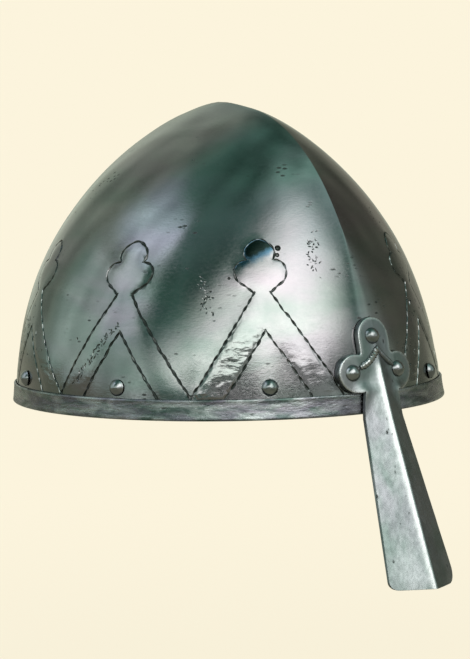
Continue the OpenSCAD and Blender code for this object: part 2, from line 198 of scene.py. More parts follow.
def dome(name, columns, rows, low, depth, marks=lambda p: 0.0):
    """Upper half of a sphere, drawn out to the helmet's form from height low to the crown."""
    piece = made(name, bpy.ops.mesh.primitive_uv_sphere_add,
                 segments=columns, ring_count=2 * rows, radius=1)
    edit(piece)
    bpy.ops.mesh.bisect(plane_co=(0, 0, 0), plane_no=(0, 0, 1), clear_inner=True)
    leave()

    def drawn(p):
        climb = math.asin(min(1, max(0, p.z))) / (math.pi / 2)
        z = low + (crown_z(depth) - low) * (1 - (1 - climb) ** 2)
        bearing = math.degrees(math.atan2(-p.x, -p.y))
        return form(z, bearing, depth + marks(form(z, bearing, depth)))

    shape(piece, drawn)
    return piece


def ease(value, low, high):
    """Share from 0 to 1 of the way from low to high, eased at both ends."""
    t = min(1, max(0, (value - low) / (high - low)))
    return t * t * (3 - 2 * t)


def planished(p):
    """Depth of the beaten face, whose crease runs out into a round brow and nape further down."""
    r, e = lens_at(p.z, 0)
    turn = e * (r - e) * half_len(p.z, 0) / max(half_wid(p.z, 0), MM)
    brow = BROW_ROUND * ease(p.z, BROW_FROM, BROW_FULL)
    return (PLANISHED_AWAY + turn * (math.hypot(p.x, brow) - abs(p.x))
            + ripple(p, 30 * MM, 0.16 * MM) + ripple(p, 12 * MM, 0.05 * MM, 2))


def pointed(v):
    """Draws the crown out a little to its point."""
    return v + Vector((0, 0, POINT_HEIGHT * ease(math.hypot(v.x, v.y), POINT_REACH, 0)))


skull = dome("skull_plate", 320, 80, SKULL_EDGE_Z, 0, planished)
shape(skull, pointed)

# Chased frieze
# Nine outlines cut into the skull with a chisel: two straight legs that stand on the rim
# band, a bulb on their neck, and a smaller pointed lobe. The cuts overrun and waver a little.
MOTIFS, FIRST_MOTIF, MOTIF_LEAN, LEAN_HEIGHT = 9, 30.4, 2.5, 80
BAND_HEIGHT = 9.6
FOOT, INNER_FOOT, INNER_TOP = 36, 20, 40
CUT_ROUND, CUT_LIFT = 0.92, 0.12
BLOW, BLOW_MORE, BLOW_OFF, WAVER = 4, 3.5, 0.5, 0.3
# How deep a blow is at its ends, and how much deeper at its middle
BITE, FINE_BITE = (0.48, 0.52), (0.28, 0.62)
PROUD_TOP, LEG_PROUD, BULB_PROUDER, DARK_LOBE_HEIGHTS = 80.3, 0.25, 0.25, (67.5, 78)
BLOW_DEPTH, BLOW_SIZE = 0.34, 5.5
# How roughly the legs of a motif are beaten, the one with the larger bearing first
BEATEN, BEATEN_ELSEWHERE = {0: (1, 0.4), 1: (0.35, 0.05)}, (0.5, 0.5)
OUTER_LEG = [(FOOT + 0.8, BAND_HEIGHT - 1.1), (3.3, 57.2)]
INNER_LEG = [(INNER_FOOT + 0.7, BAND_HEIGHT - 1.1), (-0.3, INNER_TOP + 0.4)]
BULB = [(3.6, 56.3), (6.9, 59.2), (10.6, 61.9), (12, 65.2), (11.4, 68.2), (9.3, 70.4), (5.4, 71.4)]
TOP_LOBE = [(5.7, 71), (6.9, 73.9), (6.2, 76.6), (3.7, 79.1), (0, 80.6)]
MOTIF_PITCH = (360 - 2 * FIRST_MOTIF) / (MOTIFS - 1)


def skin_speed(z, bearing):
    """Distance along the skin for each degree of bearing."""
    return (form(z, bearing + 0.5, 0) - form(z, bearing - 0.5, 0)).length


def motif_turn(motif, height):
    """Bearing of a motif's middle at a height, and the degrees for each millimetre aside."""
    lean = {0: 1, MOTIFS - 1: -1}.get(motif, 0) * MOTIF_LEAN * height / LEAN_HEIGHT
    middle = FIRST_MOTIF + motif * MOTIF_PITCH + lean
    closer = skin_speed(BAND_HEIGHT * MM, middle) / skin_speed(height * MM, middle)
    return middle, MOTIF_PITCH / 2 / FOOT * closer


def within(line, height):
    """Half width of an outline of (aside, height) points at a height."""
    for (a, low), (b, high) in zip(line, line[1:]):
        if low <= height <= high:
            return a + (b - a) * (height - low) / (high - low)
    return 0


def curved(points, fine=5):
    """Smooth run through a few points, as the chisel is led round a curve."""
    pts = [Vector(p) for p in points]
    run = []
    for k in range(len(pts) - 1):
        before, after = pts[max(k - 1, 0)], pts[min(k + 2, len(pts) - 1)]
        a, b = pts[k], pts[k + 1]
        for i in range(fine):
            t = i / fine
            run.append(0.5 * (2 * a + (b - before) * t + (2 * before - 5 * a + 4 * b - after) * t**2
                              + (3 * a - before - 3 * b + after) * t**3))
    return run + [pts[-1]]


def even(points):
    """The same run with its points evenly spaced, about a millimetre apart."""
    lengths = [0.0]
    for a, b in zip(points, points[1:]):
        lengths.append(lengths[-1] + (b - a).length)
    count = max(2, round(lengths[-1]))
    run, k = [], 0
    for i in range(count + 1):
        at = lengths[-1] * i / count
        while k < len(points) - 2 and lengths[k + 1] < at:
            k += 1
        share = (at - lengths[k]) / (lengths[k + 1] - lengths[k])
        run.append(points[k].lerp(points[k + 1], min(1, share)))
    return run


def tube(name, points, thick, sides=2):
    """Round bar along a run of points, with its own thickness at each."""
    line = bpy.data.curves.new(name, "CURVE")
    line.dimensions, line.bevel_resolution, line.use_fill_caps = "3D", sides, True
    line.bevel_depth = 1
    spline = line.splines.new("POLY")
    spline.points.add(len(points) - 1)
    for point, p, r in zip(spline.points, points, thick):
        point.co, point.radius = (*p, 1), r
    piece = bpy.data.objects.new(name, line)
    bpy.context.scene.collection.objects.link(piece)
    pick(piece)
    bpy.ops.object.convert(target="MESH")
    return bpy.context.object


def on_plate(motif, aside, height, lift):
    """Place just above the beaten plate, in millimetres to the right of a motif's middle for
    one who faces it, and up from the rim."""
    middle, turn = motif_turn(motif, height)
    at, normal = uncut.find_nearest(form(height * MM, middle - aside * turn, 0))[:2]
    return at + normal * lift * MM


def chisel(motif, line, seed):
    """One chisel line of a motif: a run of blows, each a little off the last one's line and
    shallow at its ends, over a cut that wavers."""
    points, thick = [], []
    run = even([Vector(p) for p in line])
    last = len(run) - 1
    ends, deeper = FINE_BITE if motif == 0 else BITE
    blow, start, rest = 0, 0, 0
    for k, p in enumerate(run):
        if k >= rest:
            blow += 1
            more = abs(noise.noise(Vector((blow / 1.7, seed, motif))))
            start, rest = rest, rest + BLOW + BLOW_MORE * more
            shift = BLOW_OFF * noise.noise(Vector((blow / 1.3, 7 + seed, motif)))
            deep = 0.8 + 0.5 * noise.noise(Vector((blow / 1.3, seed, 9 + motif)))
        share = min(1, (k - start) / (rest - start))
        waver = WAVER * noise.noise(Vector((k / 9, seed, motif))) + shift * (1 - share)
        ahead = (run[min(k + 1, last)] - run[max(k - 1, 0)]).normalized()
        points.append(on_plate(motif, p.x - waver * ahead.y, p.y + waver * ahead.x, CUT_LIFT))
        ending = min(1, 0.62 + 0.3 * min(k, last - k))
        thick.append(CUT_ROUND * MM * ending * (ends + deeper * deep * math.sin(math.pi * share)))
    return tube("chisel_cut", points, thick)


def flipped(line):
    return [(-x, z) for x, z in line]


top_line = TOP_LOBE + flipped(TOP_LOBE[:-1])[::-1]
passes = [
    [OUTER_LEG, flipped(INNER_LEG), curved(top_line)],
    [flipped(OUTER_LEG), INNER_LEG],
    [curved(BULB), curved(flipped(BULB))],
]


def chased(v):
    """How raised a point of the skin is, how roughly beaten, and how dark it is painted as a
    reflection: the ground inside an outline stands a little proud once it is chased round."""
    height = v.z / MM
    if not BAND_HEIGHT - 1 < height < TOP_LOBE[-1][1] + 1.4:
        return 0, 0, 0
    bearing = bearing_of(v) % 360
    motif = min(MOTIFS - 1, max(0, round((bearing - FIRST_MOTIF) / MOTIF_PITCH)))
    middle, turn = motif_turn(motif, height)
    aside = (bearing - middle) / turn  # positive the other way than in on_plate
    edge = within(half_line, height) - abs(aside)
    edge = min(edge, abs(aside) - within(INNER_LEG, height)) if height < INNER_TOP else edge
    edge = min(edge, 0.8 * (PROUD_TOP - height))
    lift = ease(edge, -2, 3.2) * (LEG_PROUD + BULB_PROUDER * ease(height, 52, 62))
    blows = ease(edge, 0, 2) * ease(height, 52, 26) * BEATEN.get(motif, BEATEN_ELSEWHERE)[aside < 0]
    # The top of the first lobe is painted dark with a blue edge: a painted dark reflection
    scale = ease(edge, -0.4, 0.6) * ease(height + 0.4 * aside, *DARK_LOBE_HEIGHTS)
    black = scale if motif == 0 else 0
    return lift, blows, black


def raised(v):
    """The chased ground as it stands proud, rough where it is beaten."""
    lift, blows, _ = chased(v)
    if not lift:
        return v
    rough = BLOW_DEPTH * noise.noise(v / (BLOW_SIZE * MM)) * blows
    return v + facing(v.z, bearing_of(v)) * (lift + rough) * MM


half_line = OUTER_LEG + [q for q in BULB if q[1] > 57.3] + [q for q in TOP_LOBE if q[1] > 71.4]
shape(skull, raised)
finish_with(skull, "SOLIDIFY", thickness=SKULL_THICK - WORKED_AWAY, offset=-1)
uncut = BVHTree.FromObject(skull, bpy.context.evaluated_depsgraph_get())
for number, lines in enumerate(passes):
    carved(skull, [chisel(m, line, 10 * number + k)
                   for m in range(MOTIFS) for k, line in enumerate(lines)])

# Marks beside the chisel lines, in millimetres. Round dents as (motif, aside, height, radius):
# two deep blows by a lobe, and stray ones. Short nicks as (motif, aside, height, size): a
# ragged row where a cut was started again, the roughened legs at the sides and the back, and
# two patches of small pits that rust left beside the first motif.
dents = [(0, 8.6, 76.3, 1.6), (0, 8.1, 73.2, 1.2), (0, -14.6, 63.4, 0.8), (1, -25, 36, 0.7)]
ROW_NICKS, LEG_NICKS, RUST_PITS, TOOL_GROUPS = 60, 40, 34, 4
chance = random.Random(5)
nicks = []
for k in range(ROW_NICKS):
    t = k / (ROW_NICKS - 1)
    nicks.append((1, -1.5 - 23.5 * t + chance.uniform(-1.9, 1.6), 43.5 - 28 * t, 1))
for m in range(2, MOTIFS):
    for _ in range(LEG_NICKS):
        height = chance.uniform(12, 50)
        middle = 0.5 * (within(OUTER_LEG, height) + within(INNER_LEG, height))
        aside = chance.choice((-1, -1, -1, 1)) * middle + chance.uniform(-6, 6)
        nicks.append((m, aside, height, 1))
for middle, height, wide, tall in ((-26, 54, 1.8, 5), (26, 75, 2, 6)):
    for _ in range(RUST_PITS):
        nicks.append((0, chance.gauss(middle, wide), chance.gauss(height, tall), 0.85))
pits = []
for m, aside, height, radius in dents:
    pits.append(made("punch_dent", bpy.ops.mesh.primitive_ico_sphere_add, subdivisions=2,
                     radius=radius * MM, location=on_plate(m, aside, height, 0.35 * radius)))
    bpy.ops.object.transform_apply()
for m, aside, height, size in nicks:
    turn, reach = chance.uniform(0, 3.2), size * chance.uniform(0.5, 1.2)
    a, b = reach * math.cos(turn), reach * math.sin(turn)
    points = [on_plate(m, aside + s * a, height + s * b, 0.1) for s in (-1, 0, 1)]
    r = size * chance.uniform(0.35, 0.62) * MM
    pits.append(tube("punch_nick", points, (0.6 * r, r, 0.6 * r), sides=1))
for first in range(TOOL_GROUPS):
    carved(skull, pits[first::TOOL_GROUPS])

# Rivet holes, through the skull here, and through the guard and the liner further down
RIM_RIVETS, FIRST_RIVET, RIM_RIVET_Z = 9, 30.7, 14.4 * MM
LOW_RIVET_X, LOBE_Z, TOP_LOBE_Z = 12.8 * MM, 18.7 * MM, 34.7 * MM
HOLE_RADIUS, DRILL_LENGTH = 1.75 * MM, 40 * MM
rim_places = [(RIM_RIVET_Z, FIRST_RIVET + k * (360 - 2 * FIRST_RIVET) / (RIM_RIVETS - 1))
              for k in range(RIM_RIVETS)]
low_guard_places = [(LOBE_Z, bearing_at(x, LOBE_Z)) for x in (-LOW_RIVET_X, LOW_RIVET_X)]
guard_places = [(TOP_LOBE_Z, 0)] + low_guard_places


def on_skin(z, bearing):
    """Frame on the skull's outer face, with +Z outward."""
    return Matrix.Translation(form(z, bearing, 0)) @ facing(z, bearing).to_track_quat(
        "Z", "Y").to_matrix().to_4x4()


def drilled(piece, places):
    """Drills a piece through at each of the places."""
    drills = []
    for z, bearing in places:
        drills.append(made("drill", bpy.ops.mesh.primitive_cylinder_add, vertices=24,
                           radius=HOLE_RADIUS, depth=DRILL_LENGTH))
        drills[-1].data.transform(on_skin(z, bearing))
    combine(piece, joined(drills))


drilled(skull, rim_places + guard_places)
smooth(skull, 9)

# How deep each point lies in a cut, for the shade painted there, how beaten it is, and
# how dark it is painted: the first lobe's top gets a painted dark reflection with a blue edge
MARKS = "cut_shade", "beaten", "lobe_dark_reflection"
CUT_SHADE_FULL, CUT_DEEPEST = 0.45 * MM, 1.2 * MM
for label in MARKS:
    skull.data.attributes.new(label, "FLOAT", "POINT")
layers = [skull.data.attributes[label].data for label in MARKS]
for v, cut_shade, beaten, lobe_dark_reflection in zip(skull.data.vertices, *layers):
    sunk = uncut.find_nearest(v.co)[3]
    cut_shade.value = min(1, sunk / CUT_SHADE_FULL) if sunk < CUT_DEEPEST else 0
    beaten.value, lobe_dark_reflection.value = chased(v.co)[1:]


def feed(tree, node, sockets):
    """Gives a node's sockets values or other nodes' outputs."""
    for key, value in dict(sockets).items():
        if isinstance(value, bpy.types.NodeSocket):
            tree.links.new(value, node.inputs[key])
        else:
            node.inputs[key].default_value = value


def wire(tree, kind, sockets=(), **settings):
    """Adds a shader node to a tree."""
    new = tree.nodes.new("ShaderNode" + kind)
    for key, value in settings.items():
        setattr(new, key, value)
    feed(tree, new, sockets)
    return new


def fed(shader, label):
    """What one of a shader's sockets is given so far."""
    return shader.inputs[label].links[0].from_socket


def here(tree):
    """Place on the piece, in metres."""
    return wire(tree, "TexCoord").outputs["Object"]


def mark(tree, label):
    """Value left on the piece's points under a label."""
    return wire(tree, "Attribute", attribute_name=label).outputs["Fac"]


def stretched(tree, vector, scale):
    return wire(tree, "Mapping", {"Vector": vector, "Scale": scale}).outputs[0]


def spread(tree, value, low, high, out_low=0.0, out_high=1.0):
    """Maps a value from one range to another, eased at both ends."""
    return wire(tree, "MapRange", {
        "Value": value, "From Min": low, "From Max": high,
        "To Min": out_low, "To Max": out_high}, interpolation_type="SMOOTHSTEP").outputs[0]


def sums(operation):
    """Function that adds a sum of one or two values to a tree."""
    def add(tree, a, b=0.0):
        return wire(tree, "Math", {0: a, 1: b}, operation=operation).outputs[0]

    return add


plus, less, times, most, arctan2, arcsine = map(
    sums, ("ADD", "SUBTRACT", "MULTIPLY", "MAXIMUM", "ARCTAN2", "ARCSINE"))


def blend(tree, share, a, b, mode="MIX"):
    """Colour between a and b."""
    return wire(tree, "Mix", {0: share, 6: a, 7: b},
                data_type="RGBA", blend_type=mode).outputs[2]


def cloud(tree, vector, scale, detail=3.0, rough=0.5, warp=0.0):
    return wire(tree, "TexNoise", {
        "Vector": vector, "Scale": scale, "Detail": detail, "Roughness": rough,
        "Distortion": warp}).outputs["Fac"]


def relief(tree, height, strength, distance=0.0004, **under):
    """Normal of a face that is rough by a height."""
    return wire(tree, "Bump", {
        "Height": height, "Strength": strength, "Distance": distance, **under}).outputs[0]


def group(name, inputs, outputs):
    """New node group of a place and values, with its inputs and its last node."""
    new = bpy.data.node_groups.new(name, "ShaderNodeTree")
    new.interface.new_socket("Vector", in_out="INPUT", socket_type="NodeSocketVector")
    for way, labels in (("INPUT", inputs), ("OUTPUT", outputs)):
        for label in labels:
            new.interface.new_socket(label, in_out=way, socket_type="NodeSocketFloat")
    return new, new.nodes.new("NodeGroupInput").outputs, new.nodes.new("NodeGroupOutput")


# Worked steel: the clouds, grain and pits of hand-finished metal, used by all the steel
# pieces at their own sizes
PATTERNS = "Clouds", "Grain", "Pits"
PIT_COLOUR = (0.02, 0.022, 0.02, 1)
worked, given, result = group("worked_steel", PATTERNS, (*PATTERNS, "Tint", "Height"))
where = given["Vector"]
moved = wire(worked, "VectorMath", {0: where, 1: (0.37, 0.11, 0.83)}).outputs[0]
big = cloud(worked, where, given["Clouds"], 4, 0.55, 0.6)
tint = cloud(worked, moved, given["Clouds"], 3, 0.5, 0.4)
fine = cloud(worked, where, given["Grain"], 5, 0.62)
cells = wire(worked, "TexVoronoi", {"Vector": moved, "Scale": given["Pits"]})
rare = cloud(worked, moved, times(worked, given["Clouds"], 2.2), 2)
pitted = times(worked, spread(worked, cells.outputs["Distance"], 0.3, 0.14),
               spread(worked, rare, 0.57, 0.7))
feed(worked, result, {
    "Clouds": spread(worked, big, 0.34, 0.66), "Tint": spread(worked, tint, 0.36, 0.64),
    "Grain": fine, "Pits": pitted, "Height": less(worked, fine, pitted)})


def material(name):
    """New material, with its tree and its one shader."""
    new = bpy.data.materials.new(name)
    new.use_nodes = True
    return new, new.node_tree, new.node_tree.nodes["Principled BSDF"]


def dressed(piece, finish):
    """Gives a piece its material, and lets it ride with the helmet."""
    piece.data.materials.clear()
    piece.data.materials.append(finish)
    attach(piece, "root")


def steel(name, dark, pale, warm, rough, sizes, bump, stretch=(1, 1, 1)):
    """Worked steel with its own colours, roughness, sizes of pattern and direction."""
    finish, tree, shader = material(name)
    out = wire(tree, "Group", {
        "Vector": stretched(tree, here(tree), stretch), **dict(zip(PATTERNS, sizes))},
        node_tree=worked).outputs
    colour = blend(tree, out["Clouds"], dark, pale)
    colour = blend(tree, times(tree, out["Tint"], 0.55), colour, warm)
    colour = blend(tree, times(tree, out["Pits"], 0.8), colour, PIT_COLOUR)
    feed(tree, shader, {
        "Metallic": 1, "Base Color": colour, "Normal": relief(tree, out["Height"], bump),
        "Roughness": plus(tree, spread(tree, out["Grain"], 0.3, 0.7, *rough),
                          times(tree, out["Pits"], 0.3))})
    return finish, tree, shader


# Colour of the painted shade in the chisel cuts
CUT_SHADE_COLOUR = (0.03, 0.035, 0.032, 1)
# Colours of the painted dark reflection on the first lobe's top and of its blue edge; the blue also
# tints random patches
BLUE_TINT_AND_REFLECTION, DARK_REFLECTION_COLOUR = (0.035, 0.075, 0.11, 1), (0.012, 0.02, 0.018, 1)
skull_steel, tree, shader = steel(
    "skull_steel", (0.118, 0.145, 0.133, 1), (0.2, 0.205, 0.2, 1), (0.205, 0.165, 0.195, 1),
    (0.1, 0.19), (24, 900, 330), 0.07, (0.6, 0.6, 1.5))
where = here(tree)
# Painted shade in the cuts, darker where they are deeper, and uneven along them
deep = times(tree, spread(tree, mark(tree, "cut_shade"), 0.1, 0.9),
             spread(tree, cloud(tree, where, 210, 2), 0.3, 0.5, 0.35, 1))
# Painted dark reflection on the first lobe's top with a blue edge, over blue patches that fall at
# random
ragged = times(tree, less(tree, cloud(tree, where, 260, 3, 0.6), 0.5), 0.6)
black = plus(tree, mark(tree, "lobe_dark_reflection"), ragged)
colour = blend(tree, deep, fed(shader, "Base Color"), CUT_SHADE_COLOUR)
colour = blend(tree, spread(tree, black, 0.08, 0.6), colour, BLUE_TINT_AND_REFLECTION)
colour = blend(tree, spread(tree, black, 0.5, 0.85), colour, DARK_REFLECTION_COLOUR)
dinted = times(tree, cloud(tree, stretched(tree, where, (1, 1, 1.9)), 165, 2, 0.4),
               spread(tree, mark(tree, "beaten"), 0.1, 0.8))
feed(tree, shader, {
    "Base Color": colour, "Roughness": plus(tree, fed(shader, "Roughness"), times(tree, deep, 0.3)),
    "Normal": relief(tree, dinted, 0.27, 0.0012, Normal=fed(shader, "Normal"))})
dressed(skull, skull_steel)
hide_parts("skull")

# Rim band
# A strip of steel folded over the skull's edge, hammered tight, and butted at the back. Its
# upper edge is burnished bright, and its face keeps the marks of the hammer.
BAND_SECTION = [
    (0, 1), (0, -0.3), (0.15, -0.8), (0.5, -1.12), (1.1, -1.22), (2, -1.18), (3, -1.15),
    (4, -1.14), (5, -1.14), (6, -1.14), (7, -1.15), (7.9, -1.17), (8.5, -1.25), (9, -1.3),
    (9.4, -1.18), (9.6, -0.85), (9.58, -0.4), (9.4, -0.12), (8.6, -0.1), (1.2, -0.1),
    (1.2, 2.1), (5.7, 2.1), (6, 2.35), (6, 3.05), (5.7, 3.3), (1.2, 3.3), (0.4, 3.1), (0, 2.5)]


def hoop(name, columns, section, marks):
    """Ring round the helmet: a torus whose section is drawn out to (height, depth) points."""
    count = len(section)
    piece = made(name, bpy.ops.mesh.primitive_torus_add, major_segments=columns,
                 minor_segments=count, major_radius=1, minor_radius=0.25)

    def drawn(p):
        bearing = math.degrees(math.atan2(-p.x, -p.y))
        round_it = math.atan2(p.z, math.hypot(p.x, p.y) - 1) / (2 * math.pi)
        height, depth = section[round(round_it * count) % count]
        return marks(form(height * MM, bearing, depth * MM), height, depth, bearing)

    shape(piece, drawn)
    return piece


def hammered(p, height, depth, bearing):
    """Hammer marks on the band's outer face, and a slightly uneven upper edge."""
    if depth > -0.5:
        return p
    dint = 0.06 * MM + ripple(p, 6 * MM, 0.09 * MM, 4) + ripple(p, 2.6 * MM, 0.05 * MM, 9)
    return form(height * MM, bearing, depth * MM + max(0, dint))


band = hoop("band_strip", 480, BAND_SECTION, hammered)
seam = made("seam_saw", bpy.ops.mesh.primitive_cube_add, size=1,
            location=(0, SKULL_HALF_LEN, 4 * MM), scale=(0.4 * MM, 16 * MM, 16 * MM))
bpy.ops.object.transform_apply()
combine(band, seam)
smooth(band, 32)
band_steel = steel("band_steel", (0.05, 0.075, 0.066, 1), (0.27, 0.285, 0.285, 1),
                   (0.15, 0.12, 0.165, 1), (0.2, 0.42), (150, 900, 300), 0.36, (0.42, 0.42, 1.5))[0]
dressed(band, band_steel)
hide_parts("rim_band")

# Nasal guard
# One forging, fitted by hand a little to the wearer's left: a V-section bar that widens and
# thins downward, and runs up into a plate of three round lobes, flatter than the brow behind.
GUARD_T, TIP_T, GUARD_SHIFT = 2, 1.3, 1.2
GUARD_IN = -0.1
GUARD_OUT = GUARD_IN - GUARD_T
LOBE_X, LOBE_R, TOP_LOBE_R = 12.7, 8.7, 8.9
BAR_HALF, TIP_HALF, BAR_DROP = 11, 19.5, 76.3
BAR_LEAN, RIDGE_H, TIP_RIDGE_H, RIDGE_ROUND = 18, 5.8, 9.4, 0.35
TIP_SLANT, TIP_R_RIGHT, TIP_R_LEFT = 0.5, 3, 6
BAND_GAP = 0.3
OVER_BAND = BAND_HEIGHT + BAND_GAP
JOGGLE_H, JOGGLE_ASIDE = 6, 7
PLATE_END, PLATE_SINK = -6, 0.6
CROWNED, BLEND = 0.07, 1.6


def arch_y(x, z, depth):
    """Forward face at x across of a plain elliptical arch, all in millimetres."""
    length, width = half_len(z * MM, depth * MM) / MM, half_wid(z * MM, depth * MM) / MM
    return -length * math.sqrt(1 - (x / width) ** 2)


def skin_y(x, z, depth):
    """Forward face of the helmet's form at x across, all in millimetres."""
    return form(z * MM, bearing_at(x * MM, z * MM, depth * MM), depth * MM).y / MM


def nearer(a, b):
    """The smaller of two values, with a fillet where they cross."""
    h = max(0, BLEND - abs(a - b)) / BLEND
    return min(a, b) - h * h * BLEND / 4


def bar_half(z):
    return BAR_HALF - (TIP_HALF - BAR_HALF) * z / BAR_DROP


EDGE_AT_RIM = -arch_y(BAR_HALF - GUARD_SHIFT, 0, -1.3) + BAND_GAP + GUARD_T
LEAN = math.tan(math.radians(BAR_LEAN))


def guard_front(x, z):
    """Front of the guard, x aside of its middle: the bar's two flats and the plate."""
    ridge_h = RIDGE_H - (TIP_RIDGE_H - RIDGE_H) * min(0, z) / BAR_DROP
    ridge = -EDGE_AT_RIM + z * LEAN - ridge_h
    slope = ridge_h / bar_half(min(0, z))
    flats = ridge + slope * (math.sqrt(x * x + RIDGE_ROUND**2) - 0.5 * RIDGE_ROUND)
    flats += CROWNED * abs(x) * (abs(x) / bar_half(min(0, z)) - 1)
    if z < PLATE_END:
        return flats
    step = ease(z, OVER_BAND + JOGGLE_H, OVER_BAND) * ease(
        abs(x), bar_half(z) + JOGGLE_ASIDE, bar_half(z) - 0.3)
    plate = arch_y(x + GUARD_SHIFT, z, GUARD_OUT) if z > 0 else -EDGE_AT_RIM
    plate += step * (-EDGE_AT_RIM - plate) + PLATE_SINK * max(0, -z)
    return nearer(flats, plate)


def guard_back(x, z):
    """Back of the guard: it follows the skull, and stands clear of the rim band below."""
    over = ease(z, OVER_BAND + 2.5, OVER_BAND)
    clear = guard_front(x, z) + GUARD_T + (TIP_T - GUARD_T) * min(1, max(0, -z / BAR_DROP))
    return clear if over == 1 else clear * over + skin_y(x + GUARD_SHIFT, z, GUARD_IN) * (1 - over)


def arc(x, z, radius, start, end, steps):
    """Points on a circle, from one angle to another, clockwise from straight up."""
    turns = [math.radians(start + (end - start) * k / steps) for k in range(steps + 1)]
    return [(x + radius * math.sin(a), z + radius * math.cos(a)) for a in turns]


def rounded(before, corner, after, radius, steps=8):
    """Points of an arc that rounds a corner."""
    before, corner, after = Vector(before), Vector(corner), Vector(after)
    u, w = (before - corner).normalized(), (after - corner).normalized()
    half = u.angle(w) / 2
    middle = corner + (u + w).normalized() * radius / math.sin(half)
    start, end = corner + u * radius / math.tan(half), corner + w * radius / math.tan(half)
    a, b = start - middle, end - middle
    turn = a.angle_signed(b)
    points = []
    for k in range(steps + 1):
        angle = -turn * k / steps
        c, s = math.cos(angle), math.sin(angle)
        points.append((middle.x + c * a.x - s * a.y, middle.y + s * a.x + c * a.y))
    return points


# Half of the trefoil, from the top down the side at +X: the notch between two lobes is
# rounded, and the lower lobe runs into the edge of the bar
lobe_z, top_z = LOBE_Z / MM, TOP_LOBE_Z / MM
NOTCH_R = 1.3
notch_x = TOP_LOBE_R + NOTCH_R
notch_turn = math.degrees(math.asin((notch_x - LOBE_X) / (LOBE_R + NOTCH_R)))
notch_z = lobe_z + (LOBE_R + NOTCH_R) * math.cos(math.radians(notch_turn))
foot = next(a for a in range(230, 150, -1)
            if LOBE_X + LOBE_R * math.sin(math.radians(a))
            >= bar_half(lobe_z + LOBE_R * math.cos(math.radians(a))))
side = (arc(0, top_z, TOP_LOBE_R, 0, 90, 22)
        + arc(notch_x, notch_z, NOTCH_R, 270, 180 + notch_turn, 6)[1:]
        + arc(LOBE_X, lobe_z, LOBE_R, notch_turn, foot, 44)[1:])
tip_right, tip_left = (-TIP_HALF, TIP_SLANT - BAR_DROP), (TIP_HALF, -TIP_SLANT - BAR_DROP)
tip = (rounded((BAR_HALF, 0), tip_left, tip_right, TIP_R_LEFT, 14)
       + rounded(tip_left, tip_right, (-BAR_HALF, 0), TIP_R_RIGHT))
guard_line = side + tip + [(-x, z) for x, z in side[:0:-1]]

# The flat blank, whose front edges are filed round, more on the lobes than on the bar
FILED, ACROSS_CUTS = 0.85, [0, 0.3, 0.7, 1.3] + list(range(2, 22))
guard = made("guard_forging", bpy.ops.mesh.primitive_circle_add,
             vertices=len(guard_line), radius=1, fill_type="NGON")
for v, (x, z) in zip(guard.data.vertices, guard_line):
    v.co = (x, 0, z)
edit(guard)
bpy.ops.mesh.extrude_region_move(TRANSFORM_OT_translate={"value": (0, GUARD_T, 0)})
bpy.ops.mesh.select_all(action="SELECT")
bpy.ops.mesh.normals_make_consistent(inside=False)
leave()
filed = guard.data.attributes.new("bevel_weight_edge", "FLOAT", "EDGE")
for e, weight in zip(guard.data.edges, filed.data):
    ends = [guard.data.vertices[k].co for k in e.vertices]
    if all(end.y < 0.5 for end in ends):
        weight.value = 0.4 + 0.6 * ease(ends[0].z, 9, 13)
finish_with(guard, "BEVEL", width=FILED, segments=4, limit_method="WEIGHT")
edit(guard)
for axis, places in (
        ((1, 0, 0), [-x for x in ACROSS_CUTS[:0:-1]] + ACROSS_CUTS),
        ((0, 0, 1), [*range(-72, -6, 4), *range(-6, 8, 2), *range(8, 44)])):
    for at in places:
        bpy.ops.mesh.select_all(action="SELECT")
        bpy.ops.mesh.bisect(plane_co=[at * a for a in axis], plane_no=axis)
leave()


def forged(p):
    """Bends the flat blank: its front and back faces take their own forms."""
    front, back = guard_front(p.x, p.z), guard_back(p.x, p.z)
    share = p.y / GUARD_T
    dint = ripple(p, 5, 0.05, 3) + ripple(p, 17, 0.1, 8)
    y = front + (back - front) * share - dint * (1 - share)
    return Vector((p.x + GUARD_SHIFT, y, p.z)) * MM


shape(guard, forged)
outward(guard)

# The chevron bead: the arm at the wearer's right is nicked along, like a cord, and bows more
BEAD_R, HEAD_R, BEAD_SINK, BEAD_TAPER = 1.45, 3.7, 0.15, 0.35
BEAD_REACH, BEAD_END = HEAD_R + BEAD_R + 0.1, HEAD_R + 0.55
ARM, BOW_RIGHT, BOW_LEFT = 26, 0.9, 0.3
apex = Vector((GUARD_SHIFT, top_z - BEAD_REACH))
arm_points, arm_thick = [], []
for k in range(-ARM, ARM + 1):
    way = Vector((math.copysign(LOW_RIVET_X / MM, k), lobe_z)) - apex
    t = abs(k) / ARM
    bow = 4 * t * (1 - t) * (BOW_RIGHT if k < 0 else BOW_LEFT)
    at = apex + way * t * (1 - BEAD_END / way.length)
    at -= Vector((math.copysign(bow, k) if k else 0, bow))
    arm_points.append(Vector((at.x, arch_y(at.x, at.y, GUARD_OUT) - BEAD_SINK, at.y)) * MM)
    nick = 0.14 + 0.16 * math.sin(2.2 * k) if k < 0 else -0.05
    arm_thick.append(BEAD_R * MM * (1 - BEAD_TAPER * ease(t, 0.85, 1) + nick
                                    + 0.1 * noise.noise(Vector((0.8 * k, 8, 1)))))
bead = tube("guard_bead", arm_points, arm_thick, sides=5)
outward(bead)
combine(guard, bead, "UNION")
drilled(guard, guard_places)
smooth(guard, 27)

